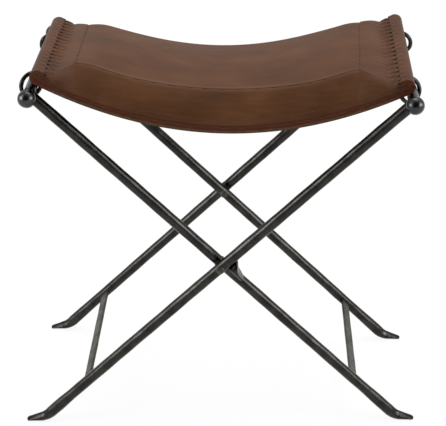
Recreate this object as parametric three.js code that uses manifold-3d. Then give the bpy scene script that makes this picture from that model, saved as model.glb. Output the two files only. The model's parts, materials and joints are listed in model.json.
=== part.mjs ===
// X frame folding stool: two forged iron frames that cross on two rivets, and a padded leather sling.
// Millimetres, +Z up. The origin is on the floor under the middle of the stool. The rails and the
// pivot's axis run along Y, and the legs cross in planes of constant Y. The outer frame has its rail
// on the right (+X) and its feet on the left; the inner frame lies the other way round.

import * as THREE from 'three';
import { mergeVertices } from 'three/addons/utils/BufferGeometryUtils.js';
import Module from 'manifold-3d';

const wasm = await Module();
wasm.setup();

// Sizes shared by all pieces
const gap = 0.3; // clear space between pieces that touch or are welded
const cutOverrun = 5; // how far a cutting body runs past the face that it cuts

// Frames: round iron bar
const railHeight = 467; // rail's axis over the floor
const railReach = 230; // rail's axis from the middle plane
const pivotHeight = 239;
const barRadius = 7;
const outerLegOffset = 115.6; // outer legs' axes from the middle plane, along Y
const washerThickness = 1;
const innerLegOffset = outerLegOffset - 2 * barRadius - washerThickness - 2 * gap;

// Forged foot
const toeLength = 21.6; // length of the flat sole
const toeHalfHeight = 1.8;
const toeHalfWidth = 5.2;
const heelHalfHeight = 6; // where the bend ends and the toe starts
const heelHalfWidth = 7.2;
const swellHalf = 7.6; // bar is upset a little before the bend
const swellLength = 44;
const soleFlat = 0.4; // depth that the sole is dressed flat
const bendRadius = 28;

// Ball finials, pressed on the ends of the rails
const ballRadius = 11;
const outerBallStep = 9.4; // ball's centre past the outer leg's axis
const innerBallStep = 16; // ball's centre past the inner leg's axis

// Pivot rivets and their washers
const shankRadius = 3.2;
const rivetHeadRadius = 5.6;
const rivetHeadHeight = 2.2;
const rivetSeatDepth = 0.8; // flat dressed on the bar under each rivet head
const washerRadius = 7;

// Stretchers: flat bar with a round tenon on each end
const stretcherReach = 176.7; // from the middle plane, on the legs' axes
const stretcherWidth = 13;
const stretcherThickness = 4;
const tenonRadius = 3;
const tenonLength = 6.5; // into the leg, from the leg's inner side

// Stop lug, welded in the crossing of the front legs
const stopLength = 7.6; // from the angle's apex to its blunt end
const stopRound = 1.6;
const stopProud = 0.6; // how far its ends stand short of the legs' outer sides
const stopBevel = 0.8;

// Loose forged rings round the rails
const ringRadius = 14.4; // centre line
const ringWire = 2.6; // radius of the wire
const ringInset = 30; // ring's middle from the seat's front or back edge
const eyeRadius = 5.5; // eye forged on the seat rod for each ring
const eyeClearance = 0.4;

// Seat rods and the leather
const seatRodRadius = 5;
const seatRodInboard = 9; // rod's axis inboard of the rail's axis
const seatRodReach = railReach - seatRodInboard;
const seatRodRise = 20; // rod's axis over the rail's axis
const seatRodHeight = railHeight + seatRodRise;
const leather = 4.2; // thickness of the base leather
const seatSideClearance = 0.1; // between the seat's edge and the outer legs' inner sides
const seatHalfDepth = outerLegOffset - barRadius - seatSideClearance;
const sleeveEndWall = 4; // leather turned in over the rod's end
const seatDip = 45.6; // underside of the base leather in the middle, under the rails' axes
const seatLow = railHeight - seatDip;
const twistRise = 3.8; // front left and back right corners of the seat stand this much higher
const seatShift = 2.1; // the seat hangs this much to the right
const seatFlare = 1.8; // and the back ends of its rods lie this much further apart on each side
const wrapLap = 5.8; // flat end of the wrapped leather, past the sleeve's round
const notchHalfWidth = 11.5; // notch under the sleeve at each ring, along Y
const notchLength = 13.5; // from the rod's axis to the notch's inboard end
const notchReach = seatRodReach - notchLength;

// Pad on the base leather
const coverWall = 2.2;
const coverHem = 14; // width of the cover's turned-in edge on the base leather
const seamHeight = 9.2; // red seam line over the base's underside
const padHeight = 44.6; // top seam over the base's underside, in the middle
const padShoulder = 67; // the pad starts to thin this far inboard of the rod's axis
const padFlatReach = seatRodReach - padShoulder;
const stripLength = 20; // and has thinned to the end strip this far inboard of it
const padEndReach = seatRodReach - stripLength;
const faceDepth = 32.5; // top seam inside the seat's edge, in the middle
const topSeamHalf = seatHalfDepth - faceDepth;
const cornerDepth = 45.5; // top seam inside the seat's edge, at the cross seams
const crossSeamHalf = seatHalfDepth - cornerDepth;
const crossSeamInboard = 47; // cross seam inboard of the rod's axis
const crossSeamReach = seatRodReach - crossSeamInboard;
const stripRound = 9; // width of the end strip's rounded edge
const stripHalf = seatHalfDepth - stripRound;
const seamBow = 4; // the top seams bow out this much between the middle and the cross seams
const crownHeight = 4;
const seamGroove = 0.9; // how deep the top and cross seams draw in
const seamStep = 3; // half width of a drawn-in seam
const padClearance = 1; // between the cover and the foam

// Shares of the shapes
const padEndPowerShare = 2.3; // how late the pad's end rounds down
const seamDrawPowerShare = 8; // how late the top seams draw together
const faceBulgeShare = 0.55; // 0 is a flat slanting face, 1 a quarter round
const endBulgeShare = 0.95;
const crownEndShare = 0.35;
const stationShares = [0, 0.25, 0.5, 0.69, 0.8, 0.88, 0.945]; // sections of the pad, up to its cross seam

// Facets
const barSides = 20;
const ballSides = 24;
const wireSides = 10;
const ringSteps = 30;
const bendSteps = 5;
const toeSteps = 3;
const sleeveSteps = 12;
const slingSteps = 30;
const depthSteps = 3;
const faceSteps = 4;
const crownSteps = 6;
const domeSteps = 5;
const roundSteps = 3;
const bevelSteps = 1;
const halvings = 50; // steps of the search for the sleeve's slope

// Materials

function iron(color, roughness) {
  return new THREE.MeshStandardMaterial({ color, roughness, metalness: 0.85 });
}

function hide(color, roughness) {
  return new THREE.MeshStandardMaterial({ color, roughness, metalness: 0 });
}

// Solids

// A closed geometry as a solid for cutting and joining.
function solidOf(geometry) {
  const bare = geometry.clone();
  bare.deleteAttribute('normal');
  bare.deleteAttribute('uv');
  const merged = mergeVertices(bare);
  const vertProperties = Float32Array.from(merged.attributes.position.array);
  const triVerts = Uint32Array.from(merged.index.array);
  return new wasm.Manifold(new wasm.Mesh({ numProp: 3, vertProperties, triVerts }));
}

function geometryOf(solid) {
  const { vertProperties, triVerts } = solid.getMesh();
  const geometry = new THREE.BufferGeometry();
  geometry.setAttribute('position', new THREE.BufferAttribute(Float32Array.from(vertProperties), 3));
  geometry.setIndex(new THREE.BufferAttribute(Uint32Array.from(triVerts), 1));
  return geometry;
}

// Skin over rings of points that all have the same count. The two end rings are closed by the
// triangles of `cap`, given as indices into a ring. Triangles are turned round if they face inwards.
function loft(rings, cap) {
  const count = rings[0].length;
  const triangles = [];
  for (let i = 0; i + 1 < rings.length; i += 1) {
    for (let k = 0; k < count; k += 1) {
      const a = i * count + k;
      const b = i * count + ((k + 1) % count);
      triangles.push([a, b, b + count], [a, b + count, a + count]);
    }
  }
  const last = (rings.length - 1) * count;
  for (const [a, b, c] of cap) {
    triangles.push([a, c, b], [a + last, b + last, c + last]);
  }
  const points = rings.flat();
  let volume = 0;
  for (const [a, b, c] of triangles) {
    volume += points[a].dot(points[b].clone().cross(points[c]));
  }
  const outward = triangles.map(([a, b, c]) => (volume > 0 ? [a, b, c] : [a, c, b]));
  const geometry = new THREE.BufferGeometry().setFromPoints(points);
  geometry.setIndex(outward.flat());
  return geometry;
}

// Fan from the first point, for a round end.
function fan(count) {
  return Array.from({ length: count - 2 }, (_, k) => [0, k + 1, k + 2]);
}

// Round bar along Y from one place to another, centred at x and z.
function crossBar(radius, from, to, x, z, sides = barSides) {
  const geometry = new THREE.CylinderGeometry(radius, radius, Math.abs(to - from), sides);
  return geometry.translate(x, (from + to) / 2, z);
}

// Frame geometry in the XZ plane. The leg's axis runs from the rail through the pivot to the foot.
// Here the foot is on the +X side, and footSide turns it to the side that the piece needs.

const legRise = railHeight - pivotHeight;
const legSlope = Math.atan2(legRise, railReach);
const toeSlope = Math.atan2(heelHalfHeight - toeHalfHeight, toeLength);
const bendTangent = bendRadius * Math.tan((legSlope - toeSlope) / 2);

// Point where the leg's axis and the toe's axis would meet without the bend.
const heelZ = heelHalfHeight - soleFlat;
const cornerZ = heelZ + bendTangent * Math.sin(toeSlope);
const cornerX = (pivotHeight - cornerZ) / Math.tan(legSlope);
const bendStart = new THREE.Vector2(
  cornerX - bendTangent * Math.cos(legSlope),
  cornerZ + bendTangent * Math.sin(legSlope),
);
const bendCentre = new THREE.Vector2(
  bendStart.x + bendRadius * Math.sin(legSlope),
  bendStart.y + bendRadius * Math.cos(legSlope),
);

// Stations down the leg: place, downward slope, and half height and half width of the bar.
function legStations() {
  const down = new THREE.Vector2(Math.cos(legSlope), -Math.sin(legSlope));
  const beforeBend = (distance) => bendStart.clone().addScaledVector(down, -distance);
  const stations = [
    { at: new THREE.Vector2(-railReach, railHeight), slope: legSlope, high: barRadius, wide: barRadius },
    { at: beforeBend(swellLength), slope: legSlope, high: barRadius, wide: barRadius },
    { at: beforeBend(swellLength / 2), slope: legSlope, high: swellHalf, wide: swellHalf },
  ];
  for (let i = 0; i <= bendSteps; i += 1) {
    const share = i / bendSteps;
    const slope = THREE.MathUtils.lerp(legSlope, toeSlope, share);
    const at = new THREE.Vector2(
      bendCentre.x - bendRadius * Math.sin(slope),
      bendCentre.y - bendRadius * Math.cos(slope),
    );
    const high = THREE.MathUtils.lerp(swellHalf, heelHalfHeight, share);
    const wide = THREE.MathUtils.lerp(swellHalf, heelHalfWidth, share);
    stations.push({ at, slope, high, wide });
  }
  const heel = stations.at(-1).at;
  for (let i = 1; i <= toeSteps; i += 1) {
    const share = i / toeSteps;
    const at = new THREE.Vector2(
      heel.x + toeLength * share,
      THREE.MathUtils.lerp(heelHalfHeight, toeHalfHeight, share) - soleFlat,
    );
    const high = THREE.MathUtils.lerp(heelHalfHeight, toeHalfHeight, share);
    const wide = THREE.MathUtils.lerp(heelHalfWidth, toeHalfWidth, share ** 2);
    stations.push({ at, slope: toeSlope, high, wide });
  }
  return stations;
}

// Forged leg bar, thicker by `grow` where it is used to cut its neighbour.
function legBar(footSide, y, grow = 0) {
  const rings = legStations().map(({ at, slope, high, wide }) => {
    const ring = [];
    for (let k = 0; k < barSides; k += 1) {
      const angle = (2 * Math.PI * k) / barSides;
      const across = Math.cos(angle) * (wide + grow);
      const up = Math.sin(angle) * (high + grow);
      const x = at.x + up * Math.sin(slope);
      const z = Math.max(at.y + up * Math.cos(slope), 0);
      ring.push(new THREE.Vector3(footSide * x, y + across, z));
    }
    return ring;
  });
  return loft(rings, fan(barSides));
}

const stretcherDrop = stretcherReach * Math.tan(legSlope);
const stretcherHeight = pivotHeight - stretcherDrop;

// Leg with its coped top, pierced pivot, flats for the rivet and blind hole for the stretcher.
function legGeometry(footSide, y, isOuter) {
  const out = Math.sign(y);
  const railX = -footSide * railReach;
  const rail = crossBar(barRadius + gap, -outerLegOffset * 2, outerLegOffset * 2, railX, railHeight);
  const inside = y - out * (barRadius + cutOverrun);
  const outside = y + out * (barRadius + cutOverrun);
  const pierced = crossBar(shankRadius + gap, inside, outside, 0, pivotHeight);
  const rivetSide = isOuter ? out : -out;
  const seatFace = y + rivetSide * (barRadius - rivetSeatDepth);
  const seatEnd = isOuter ? outside : inside;
  const seat = crossBar(rivetHeadRadius + gap, seatFace, seatEnd, 0, pivotHeight, ballSides);
  const socketEnd = y - out * (barRadius - tenonLength - gap);
  const socketX = footSide * stretcherReach;
  const socket = crossBar(tenonRadius + gap, inside, socketEnd, socketX, stretcherHeight);
  const leg = solidOf(legBar(footSide, y))
    .subtract(solidOf(rail))
    .subtract(solidOf(pierced))
    .subtract(solidOf(seat))
    .subtract(solidOf(socket));
  return geometryOf(leg);
}

// Ball with a blind bore for the rail's end and a saddle where it beds against the leg.
function ballGeometry(footSide, y, legY) {
  const out = Math.sign(y);
  const x = -footSide * railReach;
  const ball = new THREE.SphereGeometry(ballRadius, ballSides, ballSides / 2);
  ball.translate(x, y, railHeight);
  const bore = crossBar(barRadius + gap, y, y - out * (ballRadius + cutOverrun), x, railHeight);
  const cut = solidOf(ball)
    .subtract(solidOf(bore))
    .subtract(solidOf(legBar(footSide, legY, gap)));
  return geometryOf(cut);
}

// Flat bar between two legs, with coped shoulders and a round tenon on each end.
function stretcherGeometry(footSide, legOffset) {
  const inner = legOffset - barRadius;
  const bar = new THREE.BoxGeometry(stretcherWidth, 2 * legOffset, stretcherThickness);
  bar.rotateY(footSide * legSlope).translate(footSide * stretcherReach, 0, stretcherHeight);
  const end = inner + tenonLength;
  const tenon = crossBar(tenonRadius, -end, end, footSide * stretcherReach, stretcherHeight);
  const shouldered = solidOf(bar)
    .subtract(solidOf(legBar(footSide, legOffset, gap)))
    .subtract(solidOf(legBar(footSide, -legOffset, gap)));
  const middle = shouldered.decompose().sort((a, b) => b.volume() - a.volume())[0];
  return geometryOf(middle.add(solidOf(tenon)));
}

// Rivet: low dome outside, shank through both legs, peened dome inside.
function rivetGeometry(side) {
  const outer = outerLegOffset + barRadius - rivetSeatDepth + gap;
  const inner = innerLegOffset - barRadius + rivetSeatDepth - gap;
  const profile = [];
  for (let i = 0; i <= domeSteps; i += 1) {
    const angle = (Math.PI / 2) * (i / domeSteps);
    profile.push(new THREE.Vector2(
      rivetHeadRadius * Math.sin(angle),
      inner - rivetHeadHeight * Math.cos(angle),
    ));
  }
  profile.push(new THREE.Vector2(shankRadius, inner), new THREE.Vector2(shankRadius, outer));
  for (let i = domeSteps; i >= 0; i -= 1) {
    const angle = (Math.PI / 2) * (i / domeSteps);
    profile.push(new THREE.Vector2(
      rivetHeadRadius * Math.sin(angle),
      outer + rivetHeadHeight * Math.cos(angle),
    ));
  }
  profile[0].x = 0;
  profile.at(-1).x = 0;
  const geometry = new THREE.LatheGeometry(profile, barSides);
  if (side < 0) geometry.rotateX(Math.PI);
  return geometry.translate(0, 0, pivotHeight);
}

function washerGeometry(side) {
  const near = innerLegOffset + barRadius + gap;
  const far = near + washerThickness;
  const disc = crossBar(washerRadius, side * near, side * far, 0, pivotHeight, ballSides);
  const holeRadius = shankRadius + gap;
  const hole = crossBar(holeRadius, side * (near - cutOverrun), side * (far + cutOverrun), 0, pivotHeight);
  return geometryOf(solidOf(disc).subtract(solidOf(hole)));
}

// Wedge in the right-hand angle of the front crossing. It is welded on the inner leg and the outer
// leg's underside comes down on it when the stool is open.
function stopGeometry() {
  const apex = (barRadius + gap) / Math.sin(legSlope);
  const stopReach = apex + stopLength;
  const halfHeight = stopLength * Math.tan(legSlope);
  const bluntHalf = halfHeight - stopRound;
  const shape = new THREE.Shape();
  shape.moveTo(apex + stopBevel, 0);
  shape.lineTo(stopReach - stopRound, -bluntHalf);
  shape.quadraticCurveTo(stopReach, -bluntHalf, stopReach, -bluntHalf + stopRound);
  shape.lineTo(stopReach, bluntHalf - stopRound);
  shape.quadraticCurveTo(stopReach, bluntHalf, stopReach - stopRound, bluntHalf);
  shape.closePath();
  const front = outerLegOffset + barRadius - stopProud;
  const back = innerLegOffset - barRadius + stopProud;
  const geometry = new THREE.ExtrudeGeometry(shape, {
    depth: front - back - 2 * stopBevel,
    bevelThickness: stopBevel,
    bevelSize: stopBevel,
    bevelOffset: -stopBevel,
    bevelSegments: bevelSteps,
    curveSegments: roundSteps,
  });
  return geometry.rotateX(Math.PI / 2).translate(0, -(back + stopBevel), pivotHeight);
}

// Seat: the underside of the base leather is a parabola that runs into the round of each sleeve

const boreRadius = seatRodRadius + gap;
const sleeveRadius = boreRadius + leather;

// Slope of the leather where it meets the sleeve, from the parabola's rise to that point.
function sleeveSlope() {
  let low = 0;
  let high = Math.PI / 3;
  for (let i = 0; i < halvings; i += 1) {
    const slope = (low + high) / 2;
    const touch = seatRodReach + sleeveRadius * Math.sin(slope);
    const rise = seatRodHeight - sleeveRadius * Math.cos(slope) - seatLow;
    if ((Math.tan(slope) * touch) / 2 < rise) low = slope;
    else high = slope;
  }
  return (low + high) / 2;
}

const endSlope = sleeveSlope();
const touchReach = seatRodReach + sleeveRadius * Math.sin(endSlope);
const sagRate = Math.tan(endSlope) / (2 * touchReach);
const coverReach = seatRodReach - sleeveRadius * Math.sin(endSlope) - wrapLap * Math.cos(endSlope) - gap;

function underside(x) {
  return seatLow + sagRate * x * x;
}

// Height of a layer at right angles to the leather, measured straight up at x.
function upright(x, thickness) {
  return thickness * Math.hypot(1, 2 * sagRate * x);
}

// Where a point of the straight, level seat lies once the seat hangs in its rings.
function hung(x, y, z) {
  const share = (x / seatRodReach) * (y / seatHalfDepth);
  return new THREE.Vector3(x + seatShift + seatFlare * share, y, z + twistRise * share);
}

function hungGeometry(geometry) {
  const place = geometry.attributes.position;
  for (let i = 0; i < place.count; i += 1) {
    const { x, y, z } = hung(place.getX(i), place.getY(i), place.getZ(i));
    place.setXYZ(i, x, y, z);
  }
  return geometry;
}

// Where each loose ring hangs: outward and upward from its rail as shares of the ring's radius, its turn
// about the vertical and its tilt.
const ringPlaces = [
  { name: 'left_ring_front', sideX: -1, sideY: -1, outShare: -0.007, upShare: 0.25, turn: -42, tilt: -1 },
  { name: 'left_ring_back', sideX: -1, sideY: 1, outShare: -0.229, upShare: -0.125, turn: 15, tilt: 9 },
  { name: 'right_ring_front', sideX: 1, sideY: -1, outShare: -0.139, upShare: 0.035, turn: 32, tilt: 17 },
  { name: 'right_ring_back', sideX: 1, sideY: 1, outShare: -0.014, upShare: 0.292, turn: 8, tilt: 6 },
];

const ringOffset = seatHalfDepth - ringInset;

function ringPose({ sideX, sideY, outShare, upShare, turn, tilt }) {
  const turned = THREE.MathUtils.degToRad(turn);
  const tilted = THREE.MathUtils.degToRad(tilt);
  const normal = new THREE.Vector3(
    sideX * Math.sin(turned) * Math.cos(tilted),
    sideY * Math.cos(turned) * Math.cos(tilted),
    Math.sin(tilted),
  );
  const x = sideX * (railReach + outShare * ringRadius);
  const centre = new THREE.Vector3(x, sideY * ringOffset, railHeight + upShare * ringRadius);
  return { normal, centre };
}

function ringGeometry(place, grow = 0) {
  const { normal, centre } = ringPose(place);
  const geometry = new THREE.TorusGeometry(ringRadius, ringWire + grow, wireSides, ringSteps);
  const turn = new THREE.Quaternion().setFromUnitVectors(new THREE.Vector3(0, 0, 1), normal);
  return geometry.applyQuaternion(turn).translate(centre.x, centre.y, centre.z);
}

// Point of the ring's centre line that is nearest to the seat rod: the eye is forged round it.
function eyeCentre(place) {
  const { normal, centre } = ringPose(place);
  const rod = hung(place.sideX * seatRodReach, centre.y, seatRodHeight);
  const towards = rod.sub(centre).projectOnPlane(normal).normalize();
  return centre.addScaledVector(towards, ringRadius);
}

// Seat rod with a pierced eye for each ring.
function seatRodGeometry(sideX) {
  const end = seatHalfDepth - sleeveEndWall - gap;
  let rod = solidOf(hungGeometry(crossBar(seatRodRadius, -end, end, sideX * seatRodReach, seatRodHeight)));
  const rings = ringPlaces.filter((place) => place.sideX === sideX);
  for (const place of rings) {
    const eye = new THREE.SphereGeometry(eyeRadius, barSides, barSides / 2);
    const { x, y, z } = eyeCentre(place);
    rod = rod.add(solidOf(eye.translate(x, y, z)));
  }
  for (const place of rings) rod = rod.subtract(solidOf(ringGeometry(place, eyeClearance)));
  return geometryOf(rod);
}

// Base leather: one section across the stool, carried from front to back. Its ends go outward under
// the rods, round them and back on top, where they meet the cover.
function baseOutline() {
  const outline = [];
  const arc = (side, radius, from, to) => {
    for (let i = 0; i <= sleeveSteps; i += 1) {
      const angle = THREE.MathUtils.lerp(from, to, i / sleeveSteps);
      outline.push(new THREE.Vector2(
        side * (seatRodReach + radius * Math.cos(angle)),
        seatRodHeight + radius * Math.sin(angle),
      ));
    }
  };
  const lapEnd = (side, radius) => new THREE.Vector2(
    side * (seatRodReach - radius * Math.sin(endSlope) - wrapLap * Math.cos(endSlope)),
    seatRodHeight + radius * Math.cos(endSlope) - wrapLap * Math.sin(endSlope),
  );
  const bottom = endSlope - Math.PI / 2;
  const top = endSlope + Math.PI / 2;
  for (let i = 1; i < slingSteps; i += 1) {
    const x = THREE.MathUtils.lerp(-touchReach, touchReach, i / slingSteps);
    outline.push(new THREE.Vector2(x, underside(x)));
  }
  arc(1, sleeveRadius, bottom, top);
  outline.push(lapEnd(1, sleeveRadius), lapEnd(1, boreRadius));
  arc(1, boreRadius, top, bottom);
  for (let i = slingSteps - 1; i > 0; i -= 1) {
    const x = THREE.MathUtils.lerp(-touchReach, touchReach, i / slingSteps);
    const slope = Math.atan(2 * sagRate * x);
    const across = new THREE.Vector2(-Math.sin(slope), Math.cos(slope));
    outline.push(across.multiplyScalar(leather).add(new THREE.Vector2(x, underside(x))));
  }
  arc(-1, boreRadius, bottom, top);
  outline.push(lapEnd(-1, boreRadius), lapEnd(-1, sleeveRadius));
  arc(-1, sleeveRadius, top, bottom);
  return outline;
}

function baseGeometry() {
  const sheet = new THREE.ExtrudeGeometry(new THREE.Shape(baseOutline()), {
    depth: 2 * seatHalfDepth,
    steps: depthSteps,
    bevelEnabled: false,
  });
  sheet.rotateX(Math.PI / 2).translate(0, seatHalfDepth, 0);
  let base = solidOf(hungGeometry(sheet));
  for (const sideX of [-1, 1]) {
    for (const sideY of [-1, 1]) {
      const inner = sideY * (seatHalfDepth - sleeveEndWall);
      const x = sideX * seatRodReach;
      const endWall = crossBar(boreRadius + gap, inner, sideY * seatHalfDepth, x, seatRodHeight);
      base = base.add(solidOf(hungGeometry(endWall)));
    }
  }
  const notchEnd = seatRodReach + sleeveRadius + cutOverrun;
  const notchDepth = 3 * sleeveRadius;
  for (const { sideX, sideY } of ringPlaces) {
    const notch = new THREE.BoxGeometry(notchEnd - notchReach, 2 * notchHalfWidth, notchDepth);
    const x = (sideX * (notchReach + notchEnd)) / 2;
    const middle = hung(x, sideY * ringOffset, seatRodHeight - notchDepth / 2);
    base = base.subtract(solidOf(notch.translate(middle.x, middle.y, middle.z)));
  }
  return geometryOf(base);
}

// Pad section at x, from the front seam over the top to the back seam, drawn in by `inset`.
function padHeightAt(x) {
  const strip = upright(x, 2 * sleeveRadius);
  const past = Math.max(Math.abs(x) - padFlatReach, 0) / (padEndReach - padFlatReach);
  const fullness = Math.max(1 - past ** padEndPowerShare, 0);
  return strip + (padHeight - strip) * fullness;
}

function topSeamAt(x) {
  const reach = Math.abs(x);
  if (reach <= crossSeamReach) {
    const share = reach / crossSeamReach;
    const bow = seamBow * Math.sin(Math.PI * share ** 2);
    return topSeamHalf + bow - (topSeamHalf - crossSeamHalf) * share ** seamDrawPowerShare;
  }
  const share = (reach - crossSeamReach) / (coverReach - crossSeamReach);
  return THREE.MathUtils.lerp(crossSeamHalf, stripHalf, share);
}

function padTop(x, inset) {
  const reach = Math.abs(x);
  const ends = Math.min(reach / crossSeamReach, 1) ** 2;
  const bulge = THREE.MathUtils.lerp(faceBulgeShare, endBulgeShare, ends);
  const crown = crownHeight * THREE.MathUtils.lerp(1, crownEndShare, ends);
  const onCrossSeam = Math.max(1 - Math.abs(reach - crossSeamReach) / seamStep, 0);
  const seamY = seatHalfDepth - inset;
  const topY = topSeamAt(x) - inset / 2;
  const high = padHeightAt(x) - inset - seamGroove * onCrossSeam;
  const low = Math.min(seamHeight, high);
  const half = [];
  for (let i = 0; i <= faceSteps; i += 1) {
    const share = i / faceSteps;
    const angle = (share * Math.PI) / 2;
    const flatY = THREE.MathUtils.lerp(seamY, topY, share);
    const roundY = topY + (seamY - topY) * Math.cos(angle);
    const flatZ = THREE.MathUtils.lerp(low, high, share);
    const roundZ = low + (high - low) * Math.sin(angle);
    half.push([THREE.MathUtils.lerp(flatY, roundY, bulge), THREE.MathUtils.lerp(flatZ, roundZ, bulge)]);
  }
  half[faceSteps][1] -= reach < crossSeamReach ? seamGroove : 0;
  for (let i = 1; i <= crownSteps / 2; i += 1) {
    const y = topY * (1 - (2 * i) / crownSteps);
    half.push([y, high + crown * (1 - (y / topY) ** 2)]);
  }
  const front = half.map(([y, z]) => [-y, z]);
  const back = half.slice(0, -1).reverse();
  return [...front, ...back];
}

// Places along X where the pad's section is drawn. Each cross seam has one on either side.
function padStations() {
  const flats = stationShares.map((share) => share * (crossSeamReach - seamStep));
  const seam = [crossSeamReach - seamStep, crossSeamReach, crossSeamReach + seamStep];
  const past = (padEndReach + crossSeamReach) / 2 + seamStep / 2;
  const half = [...flats, ...seam, past, padEndReach, (padEndReach + coverReach) / 2, coverReach];
  return [...half.slice(1).reverse().map((x) => -x), ...half];
}

function padRing(x, section) {
  return section.map(([y, high]) => hung(x, y, underside(x) + high));
}

// Triangles that close the end of a section, wound the way the section runs.
function sectionCap(section) {
  const contour = section.map(([y, high]) => new THREE.Vector2(y, high));
  const runs = Math.sign(THREE.ShapeUtils.area(contour));
  return THREE.ShapeUtils.triangulateShape(contour, []).map(([a, b, c]) => {
    const wound = Math.sign(THREE.ShapeUtils.area([contour[a], contour[b], contour[c]]));
    return wound === runs ? [a, b, c] : [a, c, b];
  });
}

// Cover: a leather shell, turned in under its edge where it lies on the base leather.
function coverSection(x) {
  const bed = upright(x, leather + gap);
  const hem = upright(x, coverWall);
  const outer = padTop(x, 0);
  const inner = padTop(x, coverWall).reverse();
  const edge = seatHalfDepth - coverHem;
  return [
    [-edge, bed],
    [-seatHalfDepth, bed],
    ...outer,
    [seatHalfDepth, bed],
    [edge, bed],
    [edge, bed + hem],
    [seatHalfDepth - coverWall, bed + hem],
    ...inner,
    [-seatHalfDepth + coverWall, bed + hem],
    [-edge, bed + hem],
  ];
}

function coverGeometry() {
  const stations = padStations();
  const cap = sectionCap(coverSection(stations[0]));
  return loft(stations.map((x) => padRing(x, coverSection(x))), cap);
}

// Foam: fills the cover, rests on the base leather between the hems and steps over them.
function foamSection(x) {
  const bed = upright(x, leather + gap);
  const shelf = bed + upright(x, coverWall) + padClearance;
  const side = seatHalfDepth - coverWall - padClearance;
  const edge = seatHalfDepth - coverHem - padClearance;
  const top = padTop(x, coverWall + padClearance);
  return [[-edge, bed], [-edge, shelf], [-side, shelf], ...top, [side, shelf], [edge, shelf], [edge, bed]];
}

function foamGeometry() {
  const stations = padStations();
  const cap = sectionCap(foamSection(stations[0]));
  return loft(stations.map((x) => padRing(x, foamSection(x))), cap);
}

// The stool

const stool = new THREE.Group();
stool.name = 'x_frame_stool';

const ironBlack = iron(0x232120, 0.45);
const ironPolished = iron(0x1a1a1b, 0.22);
const ironWorn = iron(0x3a3934, 0.55);
const leatherTop = hide(0x6b4433, 0.45);
const leatherBase = hide(0x5a2f1c, 0.5);
const foamBuff = hide(0xc9b489, 0.95);

function place(name, geometry, material) {
  const mesh = new THREE.Mesh(geometry, material.clone());
  mesh.name = name;
  stool.add(mesh);
}

const ends = [
  { word: 'front', side: -1 },
  { word: 'back', side: 1 },
];
const frames = [
  { word: 'outer', rail: 'right', footSide: -1, legOffset: outerLegOffset, ballStep: outerBallStep },
  { word: 'inner', rail: 'left', footSide: 1, legOffset: innerLegOffset, ballStep: innerBallStep },
];

for (const { word: frame, rail, footSide, legOffset, ballStep } of frames) {
  const ballOffset = legOffset + ballStep;
  const railEnd = ballOffset - gap;
  const railBar = crossBar(barRadius, -railEnd, railEnd, -footSide * railReach, railHeight);
  for (const { word: end, side } of ends) {
    const leg = legGeometry(footSide, side * legOffset, frame === 'outer');
    const ball = ballGeometry(footSide, side * ballOffset, side * legOffset);
    place(`${frame}_leg_${end}`, leg, ironBlack);
    place(`${rail}_ball_${end}`, ball, ironPolished);
  }
  place(`${rail}_rail`, railBar, ironBlack);
  place(`${frame}_stretcher`, stretcherGeometry(footSide, legOffset), ironWorn);
  place(`${rail}_seat_rod`, seatRodGeometry(-footSide), ironWorn);
}

for (const { word: end, side } of ends) {
  place(`pivot_rivet_${end}`, rivetGeometry(side), ironBlack);
  place(`pivot_washer_${end}`, washerGeometry(side), ironWorn);
}

for (const ring of ringPlaces) place(ring.name, ringGeometry(ring), ironBlack);

place('stop_lug', stopGeometry(), ironBlack);
place('base_leather', baseGeometry(), leatherBase);
place('cover_leather', coverGeometry(), leatherTop);
place('foam_pad', foamGeometry(), foamBuff);

export default stool;
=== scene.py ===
"""Finished look of a folding X frame stool: forged iron frames and a padded leather sling seat."""

import json
import math

import bpy
import numpy as np
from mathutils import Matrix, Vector


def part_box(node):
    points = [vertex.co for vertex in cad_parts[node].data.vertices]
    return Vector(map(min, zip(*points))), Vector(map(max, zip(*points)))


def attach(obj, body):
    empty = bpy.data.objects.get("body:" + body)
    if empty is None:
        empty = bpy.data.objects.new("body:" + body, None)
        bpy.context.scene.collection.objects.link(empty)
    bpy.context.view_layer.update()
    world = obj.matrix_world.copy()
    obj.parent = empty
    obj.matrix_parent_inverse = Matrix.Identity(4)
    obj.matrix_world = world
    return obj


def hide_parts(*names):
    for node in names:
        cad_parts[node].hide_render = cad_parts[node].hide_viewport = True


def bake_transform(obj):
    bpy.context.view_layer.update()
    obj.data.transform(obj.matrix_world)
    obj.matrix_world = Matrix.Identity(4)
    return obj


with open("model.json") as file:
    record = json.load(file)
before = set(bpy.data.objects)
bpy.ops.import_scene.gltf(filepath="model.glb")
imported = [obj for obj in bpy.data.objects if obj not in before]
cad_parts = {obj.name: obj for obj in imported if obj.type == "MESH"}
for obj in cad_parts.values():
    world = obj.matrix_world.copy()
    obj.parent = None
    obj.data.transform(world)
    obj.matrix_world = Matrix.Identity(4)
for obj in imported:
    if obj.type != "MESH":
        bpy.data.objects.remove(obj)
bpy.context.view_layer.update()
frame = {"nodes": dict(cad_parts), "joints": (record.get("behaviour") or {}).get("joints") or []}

# Shapes below are worked out in millimetres, and a mesh is made in metres.
MM = 0.001
rng = np.random.default_rng(1867)
ends = (("front", -1), ("back", 1))
flanks = (("left", -1), ("right", 1))


def box_mm(node):
    """Lowest and highest corner of a CAD node, in millimetres."""
    low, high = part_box(node)
    return np.array(low) / MM, np.array(high) / MM


def middle(node):
    low, high = box_mm(node)
    return (low + high) / 2


def half_size(node):
    low, high = box_mm(node)
    return (high - low) / 2


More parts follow.
